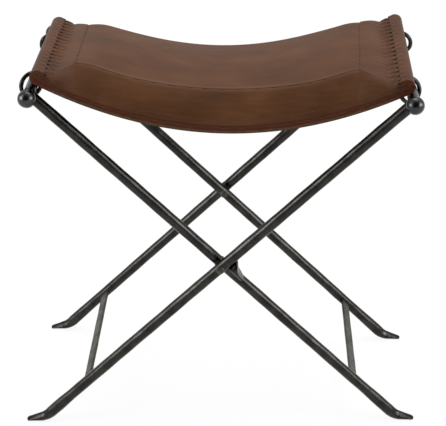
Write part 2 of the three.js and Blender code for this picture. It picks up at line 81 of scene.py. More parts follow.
# Sizes that the frame gives
rail_reach = middle("right_rail")[0]
rail_height = middle("right_rail")[2]
bar_radius = half_size("right_rail")[0]
pivot_height = frame["joints"][0]["pos_m"][2] / MM
outer_leg_offset = middle("outer_leg_back")[1]
inner_leg_offset = middle("inner_leg_back")[1]
seat_half_depth = half_size("base_leather")[1]
stretcher_reach = middle("inner_stretcher")[0]
stretcher_height = middle("inner_stretcher")[2]

# Forged foot
toe_length = 19.0
toe_half_height = 1.8
toe_half_width = 5.2
heel_half_height = 6.0
heel_half_width = 7.2
swell_half = 7.6
swell_length = 44.0
sole_flat = 0.4
bend_radius = 28.0
tip_round = 2.6

# Rods in the sleeves and the leather round them
seat_rod_radius = 5.0
seat_rod_reach = 221.0
seat_rod_height = 487.0
leather = 4.2
seat_low = 421.4
twist_rise = 3.8
seat_shift = 2.1
seat_flare = 1.8
wrap_lap = 5.8
hidden_lap = 7.0
hidden_dip = 0.4
lap_half_depth = 92.0
clearance = 0.3
ring_offset = 78.5
notch_half_width = 11.5
notch_reach = 207.5
sleeve_radius = seat_rod_radius + clearance + leather

# Pad
seam_height = 9.2
pad_height = 44.6
pad_flat_reach = 150.0
pad_end_reach = 201.0
pad_end_power = 1.9
left_cross_seam = 178.5
right_cross_seam = 169.0
cross_seam_skew = 3.5
crown_height = 2.0
swell_cap = 6.0

# Top seams: distance from the middle plane at X = 0, bow, distance at the cross seam, and distance and
# place along X where the strip beyond the cross seam has its full width
front_seam = (76.0, 4.0, 72.0, 103.5, 211.0)
back_seam = (78.5, 5.5, 80.5, 104.0, 203.0)

# Seams
whip_pitch = 12.5
whip_bite = 4.6
whip_span = (-104.0, 106.0)
whip_reach = 3.2
pucker_height = 0.75
pucker_reach = 8.0
cross_pitch = 11.5
cross_stitch = 4.5
dash_length = 12.5
dash_pitch = 21.0
face_line = 8.5
face_pitch = 4.6
face_stitch = 3.2


# Meshes

def put(thing, **settings):
    """Sets several values of a Blender thing and gives it back."""
    for key, value in settings.items():
        setattr(thing, key, value)
    return thing


def linked(name, data):
    """Object of the scene that holds a mesh, a lamp or a camera."""
    thing = bpy.data.objects.new(name, data)
    bpy.context.collection.objects.link(thing)
    return thing


def spaced(places, steps):
    """Values from the first place to the last, with even steps between each two neighbours."""
    parts = [np.linspace(a, b, count + 1)[1:] for a, b, count in zip(places, places[1:], steps)]
    return np.concatenate([places[:1], *parts])


def grid_faces(rows, columns, close_rows=False, close_columns=False):
    """Quads of a grid whose points run row by row. A closed direction joins its last line to its first."""
    row = np.arange(rows if close_rows else rows - 1)
    column = np.arange(columns if close_columns else columns - 1)
    row, column = np.meshgrid(row, column, indexing="ij")
    below = (row + 1) % rows
    beside = (column + 1) % columns
    here, there = row * columns, below * columns
    return np.stack([here + column, there + column, there + beside, here + beside], -1).reshape(-1, 4)


def skin(rings):
    """Points, quads and triangles of closed skins over rings of points (skin, ring, corner, xyz). Triangles
    close each end round a pole in the middle of its ring."""
    rings = rings if rings.ndim == 4 else rings[None]
    count, rows, sides, _ = rings.shape
    poles = rings[:, [0, -1]].mean(2)
    points = np.concatenate([rings.reshape(count, -1, 3), poles], 1)
    here = np.arange(sides)
    beside = (here + 1) % sides
    last = (rows - 1) * sides
    pole = np.full(sides, rows * sides)
    caps = np.concatenate([
        np.stack([here, beside, pole], -1),
        np.stack([last + beside, last + here, pole + 1], -1),
    ])
    base = (np.arange(count) * points.shape[1])[:, None, None]
    quads = (base + grid_faces(rows, sides, close_columns=True)).reshape(-1, 4)
    return points.reshape(-1, 3), quads, (base + caps).reshape(-1, 3)


def signed_volume(points, quads, triangles):
    """Volume inside the faces by the divergence theorem, below zero where they face inwards."""
    halves = np.concatenate([quads[:, [0, 1, 2]], quads[:, [0, 2, 3]], triangles])
    a, b, c = points[halves[:, 0]], points[halves[:, 1]], points[halves[:, 2]]
    return np.einsum("ij,ij->", a, np.cross(b, c)) / 6


def mesh_piece(name, points, quads, triangles=None, closed=True, sharp=40):
    """Object at the origin from points in millimetres and rows of corner numbers."""
    triangles = np.zeros((0, 3), int) if triangles is None else triangles
    if closed and signed_volume(points, quads, triangles) < 0:
        quads, triangles = quads[:, ::-1], triangles[:, ::-1]
    corners = np.concatenate([quads.ravel(), triangles.ravel()])
    starts = np.concatenate([np.arange(len(quads)) * 4, len(quads) * 4 + np.arange(len(triangles)) * 3])
    mesh = bpy.data.meshes.new(name)
    mesh.vertices.add(len(points))
    mesh.vertices.foreach_set("co", (points * MM).astype(np.float32).ravel())
    mesh.loops.add(len(corners))
    mesh.loops.foreach_set("vertex_index", corners.astype(np.int32))
    mesh.polygons.add(len(starts))
    mesh.polygons.foreach_set("loop_start", starts.astype(np.int32))
    mesh.update(calc_edges=True)
    mesh.validate()
    mesh.shade_smooth()
    mesh.set_sharp_from_angle(angle=math.radians(sharp))
    return linked(name, mesh)


def worked_in(piece):
    """Works a piece's modifiers into its mesh."""
    seen = piece.evaluated_get(bpy.context.evaluated_depsgraph_get())
    mesh = bpy.data.meshes.new_from_object(seen)
    piece.modifiers.clear()
    piece.data = mesh


def coordinates(mesh):
    """Points of a mesh in millimetres."""
    flat = np.zeros(len(mesh.vertices) * 3, np.float32)
    mesh.vertices.foreach_get("co", flat)
    return flat.reshape(-1, 3).astype(float) / MM


def paint(mesh, index):
    """Gives each face of a mesh the number of its material."""
    mesh.polygons.foreach_set("material_index", np.asarray(index, np.int32))


def store(mesh, name, values):
    """Keeps a number for each point of a mesh, which its material reads."""
    attribute = mesh.attributes.new(name, "FLOAT", "POINT")
    attribute.data.foreach_set("value", np.asarray(values, np.float32))


def xyz(x, y, z):
    return np.stack(np.broadcast_arrays(x, y, z), -1)


def unit(vectors):
    return vectors / np.linalg.norm(vectors, axis=-1, keepdims=True)


def smooth(value, low, high):
    """Smooth step: 0 at low, 1 at high, 3t^2 - 2t^3 between."""
    t = np.clip((value - low) / (high - low), 0, 1)
    return t * t * (3 - 2 * t)


def circle(sides):
    return np.arange(sides) * 2 * np.pi / sides


def bell(distance, width):
    return np.exp(-(distance / width) ** 2)


def around(angle, first, second):
    """Directions at angles from the first direction towards the second."""
    return np.cos(angle)[..., None] * first + np.sin(angle)[..., None] * second


def squared(values, power):
    """Sine or cosine values raised to a power with their signs kept, which squares or sharpens a round."""
    return np.sign(values) * np.abs(values) ** power


# Materials

def linear(hex_colour):
    """Linear colour from an sRGB hex value."""
    parts = np.array([int(hex_colour[i:i + 2], 16) for i in (1, 3, 5)]) / 255
    low = parts / 12.92
    high = ((parts + 0.055) / 1.055) ** 2.4
    return (*np.where(parts <= 0.04045, low, high), 1.0)


def add(tree, kind, inputs=None, **settings):
    """Adds a node. A value of inputs that is a socket is linked, and any other value is set."""
    node = put(tree.nodes.new(kind), **settings)
    for key, value in (inputs or {}).items():
        if isinstance(value, bpy.types.NodeSocket):
            tree.links.new(value, node.inputs[key])
        else:
            node.inputs[key].default_value = value
    return node


def new_material(name, **settings):
    """Material with a Principled shader, its tree and its Object coordinates."""
    material = bpy.data.materials.new(name)
    material.use_nodes = True
    tree = material.node_tree
    shader = tree.nodes["Principled BSDF"]
    for key, value in settings.items():
        shader.inputs[key.replace("_", " ")].default_value = value
    place = add(tree, "ShaderNodeTexCoord").outputs["Object"]
    return material, tree, shader, place


def noise(tree, place, size, detail=3.0, stretch=(1, 1, 1)):
    """Noise with features about `size` millimetres wide, longer along an axis with a stretch above 1."""
    scale = [1 / value for value in stretch]
    placed = add(tree, "ShaderNodeMapping", {"Vector": place, "Scale": scale}).outputs[0]
    inputs = {"Vector": placed, "Scale": 1 / (size * MM), "Detail": detail}
    return add(tree, "ShaderNodeTexNoise", inputs).outputs["Fac"]


def ramp(tree, value, stops):
    """Colour ramp through (place, hex colour) stops."""
    node = add(tree, "ShaderNodeValToRGB", {"Fac": value})
    elements = node.color_ramp.elements
    while len(elements) < len(stops):
        elements.new(0.5)
    for element, (at, colour) in zip(elements, stops):
        element.position = at
        element.color = linear(colour)
    return node.outputs["Color"]


def maths(tree, operation, first, second=0.0):
    return add(tree, "ShaderNodeMath", {0: first, 1: second}, operation=operation).outputs[0]


def read(tree, name):
    """Number stored on the mesh."""
    return add(tree, "ShaderNodeAttribute", attribute_name=name).outputs["Fac"]


def tinted(tree, under, over, share):
    return add(tree, "ShaderNodeMix", {6: under, 7: over, 0: share}, data_type="RGBA").outputs[2]


def remap(tree, value, low, high, out_low, out_high):
    inputs = {"Value": value, "From Min": low, "From Max": high, "To Min": out_low, "To Max": out_high}
    return add(tree, "ShaderNodeMapRange", inputs).outputs["Result"]


def bumped(tree, shader, layers):
    """Bump of several heights, each with its depth in millimetres, one after the other."""
    normal = None
    for height, depth in layers:
        inputs = {"Height": height, "Distance": depth * MM, "Strength": 1.0}
        if normal is not None:
            inputs["Normal"] = normal
        normal = add(tree, "ShaderNodeBump", inputs).outputs["Normal"]
    tree.links.new(normal, shader.inputs["Normal"])


def forged_iron(name, dark, light, rough_low, rough_high, hammer):
    """Forged iron: soft hammer facets some 9 mm wide, fine scale pits, and patches where wax has worn."""
    material, tree, shader, place = new_material(name, Metallic=1.0)
    patches = noise(tree, place, 14)
    tree.links.new(ramp(tree, patches, [(0.35, dark), (0.65, light)]), shader.inputs["Base Color"])
    rubbed = noise(tree, place, 5, detail=4)
    tree.links.new(remap(tree, rubbed, 0.3, 0.7, rough_low, rough_high), shader.inputs["Roughness"])
    facets = noise(tree, place, 9, detail=1)
    pits = noise(tree, place, 1.1, detail=2)
    bumped(tree, shader, [(facets, hammer), (pits, 0.05)])
    return material


def pull_up_leather(name, dark, mid, light, rough_low, rough_high, puckers=False):
    """Waxed pull-up leather: clouds of brown some 45 mm wide, fine creases along the seat, and a pebbled
    grain 1.3 mm wide, coarse enough to show."""
    material, tree, shader, place = new_material(name, Specular_IOR_Level=0.12)
    clouds = noise(tree, place, 45, stretch=(1.8, 1, 1))
    fine = noise(tree, place, 5, detail=4, stretch=(6, 1, 1))
    mixed = maths(tree, "ADD", clouds, remap(tree, fine, 0.2, 0.8, -0.12, 0.12))
    tint = ramp(tree, mixed, [(0.25, dark), (0.5, mid), (0.75, light)])
    tint = tinted(tree, tint, linear("#8a6246"), read(tree, "rubbed"))
    # Darker at the seams: partly the joints' own dark colour, partly painted shade in the seam grooves,
    # stitch holes and pucker folds.
    tint = tinted(tree, tint, linear("#2c140a"), read(tree, "seam_dark_and_painted_shade"))
    tree.links.new(tint, shader.inputs["Base Color"])
    tree.links.new(remap(tree, fine, 0.3, 0.7, rough_low, rough_high), shader.inputs["Roughness"])
    grain = {"Vector": place, "Scale": 1 / (1.3 * MM)}
    cells = add(tree, "ShaderNodeTexVoronoi", grain, feature="SMOOTH_F1")
    creases = noise(tree, place, 2.4, stretch=(7, 1, 1))
    layers = [(creases, 0.18), (cells.outputs["Distance"], 0.09)]
    if puckers:
        across = add(tree, "ShaderNodeSeparateXYZ", {0: place}).outputs["Y"]
        turn = maths(tree, "MULTIPLY", across, 2 * math.pi / (whip_pitch * MM))
        height = maths(tree, "MULTIPLY", maths(tree, "COSINE", turn), read(tree, "puckered"))
        layers.insert(0, (height, -0.35))
    bumped(tree, shader, layers)
    return material


def leather_edge(name, dark, light):
    """Cut edge of thick leather, slicked with wax: fine layers along the edge."""
    material, tree, shader, place = new_material(name, Roughness=0.55, Specular_IOR_Level=0.2)
    layers = noise(tree, place, 1.2, stretch=(9, 9, 1))
    tree.links.new(ramp(tree, layers, [(0.35, dark), (0.65, light)]), shader.inputs["Base Color"])
    bumped(tree, shader, [(layers, 0.15)])
    return material


def waxed_thread(name, colour):
    """Waxed linen thread: its plies show as a fine twist."""
    material, tree, shader, place = new_material(name, Roughness=0.55)
    plies = noise(tree, place, 0.9, detail=1)
    tree.links.new(ramp(tree, plies, [(0.3, "#1c0d07"), (0.7, colour)]), shader.inputs["Base Color"])
    bumped(tree, shader, [(plies, 0.1)])
    return material


black_iron = forged_iron("waxed black forged iron", "#2c2b29", "#3a3936", 0.2, 0.34, 0.22)
worn_iron = forged_iron("worn forged iron", "#45433e", "#615e57", 0.4, 0.58, 0.3)
ball_iron = forged_iron("polished black iron", "#3c3c3e", "#4a4a4c", 0.18, 0.28, 0.05)
seat_leather = pull_up_leather("waxed brown pull-up leather", "#51321d", "#5e3a22", "#69442b", 0.42, 0.54)
sling_leather = pull_up_leather("saddle leather", "#4e2f1c", "#5a3722", "#664128", 0.44, 0.56, puckers=True)
edge_leather = leather_edge("slicked leather edge", "#4a2e1c", "#66492f")
red_edge = leather_edge("red-brown dyed leather edge", "#451c09", "#632c12")
thread = waxed_thread("waxed dark brown thread", "#4a2b18")
dark_thread = waxed_thread("waxed black-brown thread", "#2c170c")
pale_thread = waxed_thread("waxed brown thread", "#6c4830")


def finish_piece(piece, body, slot, *materials):
    for material in materials:
        piece.data.materials.append(material)
    if body:
        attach(piece, body)


def iron_piece(name, rings, node, body, slot="black_iron", material=black_iron, sharp=40):
    """Closed iron piece from rings of points, in place of its CAD node."""
    piece = mesh_piece(name, *skin(rings), sharp=sharp)
    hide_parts(node)
    finish_piece(piece, body, slot, material)


# Frames: the leg's axis lies in the XZ plane and the foot is turned to its side by foot_side

leg_slope = math.atan2(rail_height - pivot_height, rail_reach)
toe_slope = math.atan2(heel_half_height - toe_half_height, toe_length)
bend_tangent = bend_radius * math.tan((leg_slope - toe_slope) / 2)
corner_z = heel_half_height - sole_flat + bend_tangent * math.sin(toe_slope)
corner_x = (pivot_height - corner_z) / math.tan(leg_slope)


def leg_line():
    """Axis of a leg with its foot on +X: places (x, z), slope, distance from the rail, and where the bend
    and the toe start. The bend is an arc whose slope falls evenly."""
    down = np.array([math.cos(leg_slope), -math.sin(leg_slope)])
    bend_start = np.array([corner_x, corner_z]) - bend_tangent * down
    rail = np.array([-rail_reach, rail_height])
    straight_length = np.linalg.norm(bend_start - rail)
    along = np.linspace(0, straight_length, 150)
    straight = rail + along[:, None] * down
    slopes = np.linspace(leg_slope, toe_slope, 30)[1:]
    centre = bend_start + bend_radius * np.array([math.sin(leg_slope), math.cos(leg_slope)])
    arc = centre - bend_radius * np.stack([np.sin(slopes), np.cos(slopes)], -1)
    arc_along = straight_length + bend_radius * (leg_slope - slopes)
    toe_along = np.linspace(0, toe_length / math.cos(toe_slope), 34)[1:]
    toe = arc[-1] + toe_along[:, None] * np.array([math.cos(toe_slope), -math.sin(toe_slope)])
    places = np.concatenate([straight, arc, toe])
    slope = np.concatenate([np.full(len(along), leg_slope), slopes, np.full(len(toe), toe_slope)])
    distance = np.concatenate([along, arc_along, arc_along[-1] + toe_along])
    return places, slope, distance, (straight_length, arc_along[-1])


def leg_rings(foot_side, y, seed):
    """Rings of a leg: an ellipse at right angles to the axis, its upper half drawn to a ridge towards the
    toe by a power of the sine and cosine, cut flat at the floor, with a hammer's slow waves of 0.1 mm."""
    places, slope, distance, (bend_at, toe_at) = leg_line()
    end = distance[-1]
    stations = [0, bend_at - swell_length, bend_at - swell_length / 2, bend_at, toe_at, end]
    bar = [bar_radius, bar_radius, swell_half, swell_half]
    high = np.interp(distance, stations, bar + [heel_half_height, toe_half_height])
    wide = np.interp(distance, stations, bar + [heel_half_width, toe_half_width])
    tip = np.clip((distance - end + tip_round) / tip_round, 0, 0.97)
    rounding = np.sqrt(1 - tip ** 2)
    wide = wide * (0.35 + 0.65 * rounding)
    high = high * (0.55 + 0.45 * rounding)
    ridge = 1 + 0.5 * smooth(distance, bend_at, toe_at)
    angle = circle(48)
    phases = np.random.default_rng(seed).uniform(0, 2 * np.pi, 4)
    wave = 0.09 * np.sin(distance[:, None] / 7 + 2 * angle + phases[0])
    wave += 0.07 * np.sin(distance[:, None] / 17 - 3 * angle + phases[1])
    power = np.where(np.sin(angle) > 0, ridge[:, None], 1)
    across = squared(np.cos(angle), power) * (wide[:, None] + wave)
    up = squared(np.sin(angle), power) * (high[:, None] + wave)
    x = places[:, :1] + up * np.sin(slope)[:, None]
    z = np.maximum(places[:, 1:] + up * np.cos(slope)[:, None], 0)
    return xyz(foot_side * x, y + across, z)


def make_rail(node, body):
    """Rail: a circle carried along Y, with slow waves of a twentieth of a millimetre."""
    x, _, z = middle(node)
    half_length = half_size(node)[1]
    y = np.linspace(-half_length, half_length, 90)[:, None]
    angle = circle(40)
    radius = bar_radius + 0.05 * np.sin(y / 9 + 3 * angle)
    rings = xyz(x + radius * np.cos(angle), y, z + radius * np.sin(angle))
    iron_piece(f"round_{node}", rings, node, body)


def make_ball(node, body):
    """Ball: rings of the sine of the polar angle about Y, a little uneven from filing."""
    low, high = box_mm(node)
    radius = (high[2] - low[2]) / 2
    centre = (low + high) / 2
    centre[1] = high[1] - radius if high[1] > 0 else low[1] + radius
    polar = np.linspace(0.02, np.pi - 0.02, 48)[:, None]
    angle = circle(72)
    size = radius * (1 + 0.003 * np.sin(3 * angle + 2 * polar))
    x = centre[0] + size * np.sin(polar) * np.cos(angle)
    z = centre[2] + size * np.sin(polar) * np.sin(angle)
    y = centre[1] + size * np.cos(polar)
    iron_piece(f"turned_{node}", xyz(x, y, z), node, body, "polished_iron", ball_iron)


def make_ring(node, body, seed):
    """Loose ring: a wire carried round a circle in the CAD ring's plane, a tenth thicker at the forge weld
    and a little uneven elsewhere."""
    cloud = coordinates(frame["nodes"][node].data)
    centre = middle(node)
    across, along, normal = np.linalg.svd(cloud - centre, full_matrices=False)[2]
    reach = np.linalg.norm(cloud - centre, axis=1)
    wire = (reach.max() - reach.min()) / 2
    radius = (reach.max() + reach.min()) / 2
    turn = circle(96)[:, None]
    angle = circle(20)
    draw = np.random.default_rng(seed)
    weld = draw.uniform(0, 2 * np.pi)
    apart = np.abs((turn - weld + np.pi) % (2 * np.pi) - np.pi)
    thick = wire * (1 + 0.1 * bell(apart, 0.22) + 0.03 * np.sin(5 * turn + draw.uniform(0, 6)))
    outward = around(turn, across, along)
    flat = (radius + thick * np.cos(angle))[..., None] * outward
    points = centre + flat + (thick * np.sin(angle))[..., None] * normal
    quads = grid_faces(96, 20, close_rows=True, close_columns=True)
    ring = mesh_piece(f"forged_{node}", points.reshape(-1, 3), quads)
    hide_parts(node)
    finish_piece(ring, body, "black_iron", black_iron)


def make_stretcher(node, body, foot_side, leg_offset):
    """Flat bar: a superellipse of power 5 laid at the legs' slope and carried along Y."""
    half_width, half_thick = 6.5, 2.0
    y = np.linspace(-leg_offset + bar_radius - 1, leg_offset - bar_radius + 1, 80)[:, None]
    angle = circle(40)
    power = 2 / 5
    wide = half_width + 0.12 * np.sin(y / 11 + foot_side)
    across = squared(np.cos(angle), power) * wide
    up = squared(np.sin(angle), power) * half_thick
    x = foot_side * stretcher_reach + across * math.cos(leg_slope) + foot_side * up * math.sin(leg_slope)
    z = stretcher_height - foot_side * across * math.sin(leg_slope) + up * math.cos(leg_slope)
    iron_piece(f"flat_{node}", xyz(x, y, z), node, body, "worn_iron", worn_iron)


def make_rivet(end, side):
    """Rivet turned about the pivot's axis: a shank between two domes, each a quarter ellipse."""
    head, shank, rise = 5.6, 3.2, 2.2
    low, high = box_mm(f"pivot_rivet_{end}")
    near, far = sorted([abs(low[1]), abs(high[1])])
    turn = np.linspace(0, np.pi / 2, 12)
    radius = np.concatenate([head * np.sin(turn), [shank, shank], head * np.sin(turn[::-1])])
    radius = np.maximum(radius, 0.02)[:, None]
    first = near + rise - rise * np.cos(turn)
    last = far - rise + rise * np.cos(turn[::-1])
    y = side * np.concatenate([first, [near + rise, far - rise], last])[:, None]
    angle = circle(40)
    rings = xyz(radius * np.cos(angle), y, pivot_height + radius * np.sin(angle))
    iron_piece(f"dome_rivet_{end}", rings, f"pivot_rivet_{end}", "outer_frame", material=worn_iron)


def make_weld(name, foot_side, y, body):
    """Weld bead along the line where the equal bars of a leg and its rail cross. Round the leg at angle a
    it lies r |cos a| from the rail's axis."""
    angle = circle(72)
    reach = bar_radius * np.abs(np.cos(angle))
    down = np.array([foot_side * math.cos(leg_slope), 0, -math.sin(leg_slope)])
    up = np.array([foot_side * math.sin(leg_slope), 0, math.cos(leg_slope)])
    out = around(angle, np.array([0, 1, 0]), up)
    rail = np.array([-foot_side * rail_reach, y, rail_height])
    line = rail + reach[:, None] * down + bar_radius * out
    tangent = unit(np.roll(line, -1, 0) - np.roll(line, 1, 0))
    first = unit(out - np.einsum("ij,ij->i", out, tangent)[:, None] * tangent)
    second = np.cross(tangent, first)
    thick = (1.5 + 0.16 * np.sin(angle * 24))[:, None, None]
    points = (line[:, None] + thick * around(circle(10), first[:, None], second[:, None])).reshape(-1, 3)
    bead = mesh_piece(name, points, grid_faces(72, 10, close_rows=True, close_columns=True))
    finish_piece(bead, body, "black_iron", black_iron)


def make_stop():
    """Stop lug: a knob of weld metal between the front legs that runs out along the inner leg. Its outline
    in XZ is a polygon whose corners are cut three times, and its size is the root of 1 - |t|^2.6."""
    outline = np.array([
        (10.2, 0.4), (19.4, 9.4), (22.2, 8.2), (22.9, 2.0), (23.0, -4.0), (24.0, -9.0),
        (27.0, -14.0), (30.5, -19.0), (27.5, -22.0), (18.0, -12.0), (9.6, -3.0),
    ])
    for _ in range(3):
        beside = np.roll(outline, -1, 0)
        pair = [0.75 * outline + 0.25 * beside, 0.25 * outline + 0.75 * beside]
        outline = np.stack(pair, 1).reshape(-1, 2)
    t = np.sin(np.linspace(-0.98, 0.98, 18) * np.pi / 2)
    size = np.sqrt(1 - np.abs(t) ** 2.6)[:, None, None]
    centre = outline.mean(0)
    flat = centre + (outline - centre) * np.maximum(size, 0.3)
    front, back = outer_leg_offset + 3.6, inner_leg_offset - 3.0
    y = -(front + back) / 2 + t * (front - back) / 2
    rings = xyz(flat[..., 0], y[:, None], pivot_height + flat[..., 1])
    iron_piece("welded_stop_lug", rings, "stop_lug", "inner_frame")


def make_frames():
    frames = [
        ("outer", "right", -1, outer_leg_offset, "outer_frame"),
        ("inner", "left", 1, inner_leg_offset, "inner_frame"),
    ]
    for number, (word, rail, foot_side, offset, body) in enumerate(frames):
        for end, side in ends:
            leg = f"{word}_leg_{end}"
            rings = leg_rings(foot_side, side * offset, seed=10 * number + side + 1)
            iron_piece(f"forged_{leg}", rings, leg, body, sharp=50)
            make_weld(f"weld_{word}_{end}", foot_side, side * offset, body)
            make_ball(f"{rail}_ball_{end}", body)
            make_ring(f"{rail}_ring_{end}", body, seed=10 * number + side + 5)
        make_rail(f"{rail}_rail", body)
        make_stretcher(f"{word}_stretcher", body, foot_side, offset)
    for end, side in ends:
        make_rivet(end, side)
    for node in ("right_seat_rod", "left_seat_rod", "pivot_washer_front", "pivot_washer_back"):
        shown = frame["nodes"][node].data.materials
        shown.clear()
        shown.append(worn_iron)
    make_stop()


# Seat. The base leather's underside is a parabola that runs into the round of each sleeve.

def sleeve_slope():
    """Slope at which the parabola z = low + k x^2 touches the sleeve, by halving."""
    low, high = 0.0, math.pi / 3
    for _ in range(50):
        slope = (low + high) / 2
        touch = seat_rod_reach + sleeve_radius * math.sin(slope)
        rise = seat_rod_height - sleeve_radius * math.cos(slope) - seat_low
        if math.tan(slope) * touch / 2 < rise:
            low = slope
        else:
            high = slope
    return (low + high) / 2


end_slope = sleeve_slope()
touch_reach = seat_rod_reach + sleeve_radius * math.sin(end_slope)
sag_rate = math.tan(end_slope) / (2 * touch_reach)
lap_reach = seat_rod_reach - sleeve_radius * math.sin(end_slope) - wrap_lap * math.cos(end_slope)
cover_reach = lap_reach - clearance


def underside(x):
    return seat_low + sag_rate * x ** 2


def upright(x, thickness):
    """Height at x of a layer that is `thickness` thick at right angles to the leather."""
    return thickness * np.hypot(1, 2 * sag_rate * x)


def hung(points):
    """Where points of the straight, level seat lie once it hangs in its rings: moved to the right, and in
    proportion to x times y lifted and spread."""
    share = (points[..., 0] / seat_rod_reach) * (points[..., 1] / seat_half_depth)
    moved = np.array(points, float)
    moved[..., 0] += seat_shift + seat_flare * share
    moved[..., 2] += twist_rise * share
    return moved


def base_line():
    """Outer line of the base leather (x, z) from lap to lap: the sling's parabola, then an arc about the
    rod's centre from the end slope - 90 to + 90 degrees, then the lap's straight."""
    x = spaced([0, notch_reach, touch_reach], [99, 9])
    turn = spaced([end_slope - np.pi / 2, 0, end_slope + np.pi / 2], [17, 31])[1:]
    lap = spaced([0, wrap_lap, wrap_lap + hidden_lap], [4, 4])[1:]
    lap_start = np.array([math.cos(turn[-1]), math.sin(turn[-1])]) * sleeve_radius
    inward = np.array([math.cos(end_slope), math.sin(end_slope)])
    below = np.array([math.sin(end_slope), -math.cos(end_slope)])
    hidden = np.maximum(lap - wrap_lap, 0)
    lap_line = lap_start - lap[:, None] * inward + hidden_dip * hidden[:, None] * below
    rod = np.array([seat_rod_reach, seat_rod_height])
    half = np.concatenate([
        np.stack([x, underside(x)], -1),
        rod + sleeve_radius * np.stack([np.cos(turn), np.sin(turn)], -1),
        rod + lap_line,
    ])
    left = half[:0:-1] * np.array([-1, 1])
    return np.concatenate([left, half])


def make_base_leather():
    """Base leather: its outer line carried from front to back, open at the four notches, then thickened
    inwards and rounded at its cut edges."""
    line = base_line()
    notch_edges = [ring_offset - notch_half_width, ring_offset + notch_half_width]
    half = spaced([0, *notch_edges, seat_half_depth], [35, 13, 11])
    y = np.concatenate([-half[:0:-1], half])
    points = xyz(line[:, :1], y, line[:, 1:])
    faces = grid_faces(len(line), len(y))
    centres = points.reshape(-1, 3)[faces].mean(1)
    across = np.abs(np.abs(centres[:, 1]) - ring_offset) < notch_half_width
    under = (np.abs(centres[:, 0]) > notch_reach) & (centres[:, 2] < seat_rod_height)
    hidden = (np.abs(centres[:, 0]) < lap_reach) & (centres[:, 2] > underside(centres[:, 0]) + leather)
    hidden &= np.abs(centres[:, 1]) > lap_half_depth
    faces = faces[~(across & under) & ~hidden]
    sheet = mesh_piece("sling_leather", hung(points).reshape(-1, 3), faces[:, ::-1], closed=False)
    for material in (sling_leather, edge_leather, red_edge):
        sheet.data.materials.append(material)
    wall = sheet.modifiers.new("wall", "SOLIDIFY")
    put(wall, thickness=leather * MM, offset=-1, material_offset_rim=1)
    edge = sheet.modifiers.new("edge", "BEVEL")
    put(edge, width=1.5 * MM, segments=4, limit_method="ANGLE", angle_limit=math.radians(50))
    worked_in(sheet)
    polygons = sheet.data.polygons
    index = np.zeros(len(polygons), np.int32)
    centre = np.zeros(len(polygons) * 3, np.float32)
    polygons.foreach_get("material_index", index)
    polygons.foreach_get("center", centre)
    rolled = np.abs(centre[::3] / MM - seat_shift) > notch_reach
    low = centre[2::3] / MM < seat_rod_height + twist_rise
    paint(sheet.data, np.where(rolled & (index == 1), np.where(low, 2, 0), index))
    cloud = coordinates(sheet.data)
    reach = np.abs(cloud[:, 0] - seat_shift)
    above = cloud[:, 2] > underside(reach) + 2 * leather
    store(sheet.data, "puckered", above * bell(reach - lap_reach, pucker_reach))
    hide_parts("base_leather")
    finish_seat(sheet, "base_leather")


def make_sleeve_ends():
    """Turned-in leather that closes the ends of the sleeves and of the slots up to the pad: growing rings,
    round outwards and square inwards, on a low dome with a spiral groove between its layers."""
    half, slot_length, layer_pitch, dome = seat_rod_radius + 1.2, 13.0, 2.1, 0.9
    share = np.concatenate([np.linspace(0.01, 0.96, 34), [1.0, 1.0]])[:, None]
    angle = circle(72)
    inwards = np.maximum(np.cos(angle), 1e-3)
    slot = np.minimum(half / np.maximum(np.abs(np.sin(angle)), 1e-3), slot_length / inwards)
    radius = share * np.where(np.cos(angle) > 0, slot, half)
    turns = (radius / layer_pitch - angle / (2 * np.pi) + 0.5) % 1 - 0.5
    depth = dome * (1 - share ** 2) - dome / 2 * bell(turns, 0.13)
    depth[-2:] = [[-0.8], [-5.0]]
    for word_x, side_x in flanks:
        turned = angle + (math.pi + end_slope if side_x > 0 else -end_slope)
        for word_y, side_y in ends:
            x = side_x * seat_rod_reach + radius * np.cos(turned)
            z = seat_rod_height + radius * np.sin(turned)
            y = side_y * (seat_half_depth - 0.4 + depth)
            points, quads, caps = skin(hung(xyz(x, y, z)))
            plug = mesh_piece(f"rolled_end_{word_x}_{word_y}", points, quads, caps, sharp=60)
            low = points[quads, 2].mean(1) < seat_rod_height + twist_rise * side_x * side_y
            paint(plug.data, np.append(low, np.ones(len(caps), bool)))
            finish_seat(plug, "base_leather", sling_leather, red_edge)


def finish_seat(piece, slot, *materials):
    """Seat piece with its materials and its place worked into its mesh. In the real stool the seat hangs
    from the inner frame's left rod and the outer frame's right rod; here its pieces are attached to neither
    frame.
    """
    finish_piece(piece, None, slot, *materials)
    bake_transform(piece)


# Columns of the pad's section, as shares of the hem, the face and half of the top
hem_share = np.linspace(0, 1, 6)[:-1]
face_share = spaced([0, 0.08, 0.93, 1], [6, 33, 6])[:-1]
top_share = spaced([0, 0.04, 1], [7, 83])
seam_column = len(hem_share)
top_seam_column = seam_column + len(face_share)
middle_column = top_seam_column + len(top_share) - 1
last_column = 2 * middle_column


def cross_seam(x):
    """Distance from the middle to the cross seam on the side of x."""
    return np.where(x < 0, left_cross_seam, right_cross_seam)


def pad_rows():
    """Places along X of the pad's sections, closer at the cross seams and at the ends."""
    left, right = [
        spaced([0, cross - 8, cross + 7, cover_reach - 8, cover_reach + 0.6], [41, 25, 11, 15])
        for cross in (left_cross_seam, right_cross_seam)
    ]
    return np.concatenate([-left[:0:-1], right])


def row_of(x):
    rows = pad_rows()
    return np.interp(x, rows, np.arange(len(rows)))


def pad_high(x):
    """Height of the top seam over the base's underside, thinner to the sleeves by a power curve."""
    strip = upright(x, 2 * sleeve_radius)
    past = np.clip((np.abs(x) - pad_flat_reach) / (pad_end_reach - pad_flat_reach), 0, 1)
    return strip + (pad_height - strip) * (1 - past ** pad_end_power)


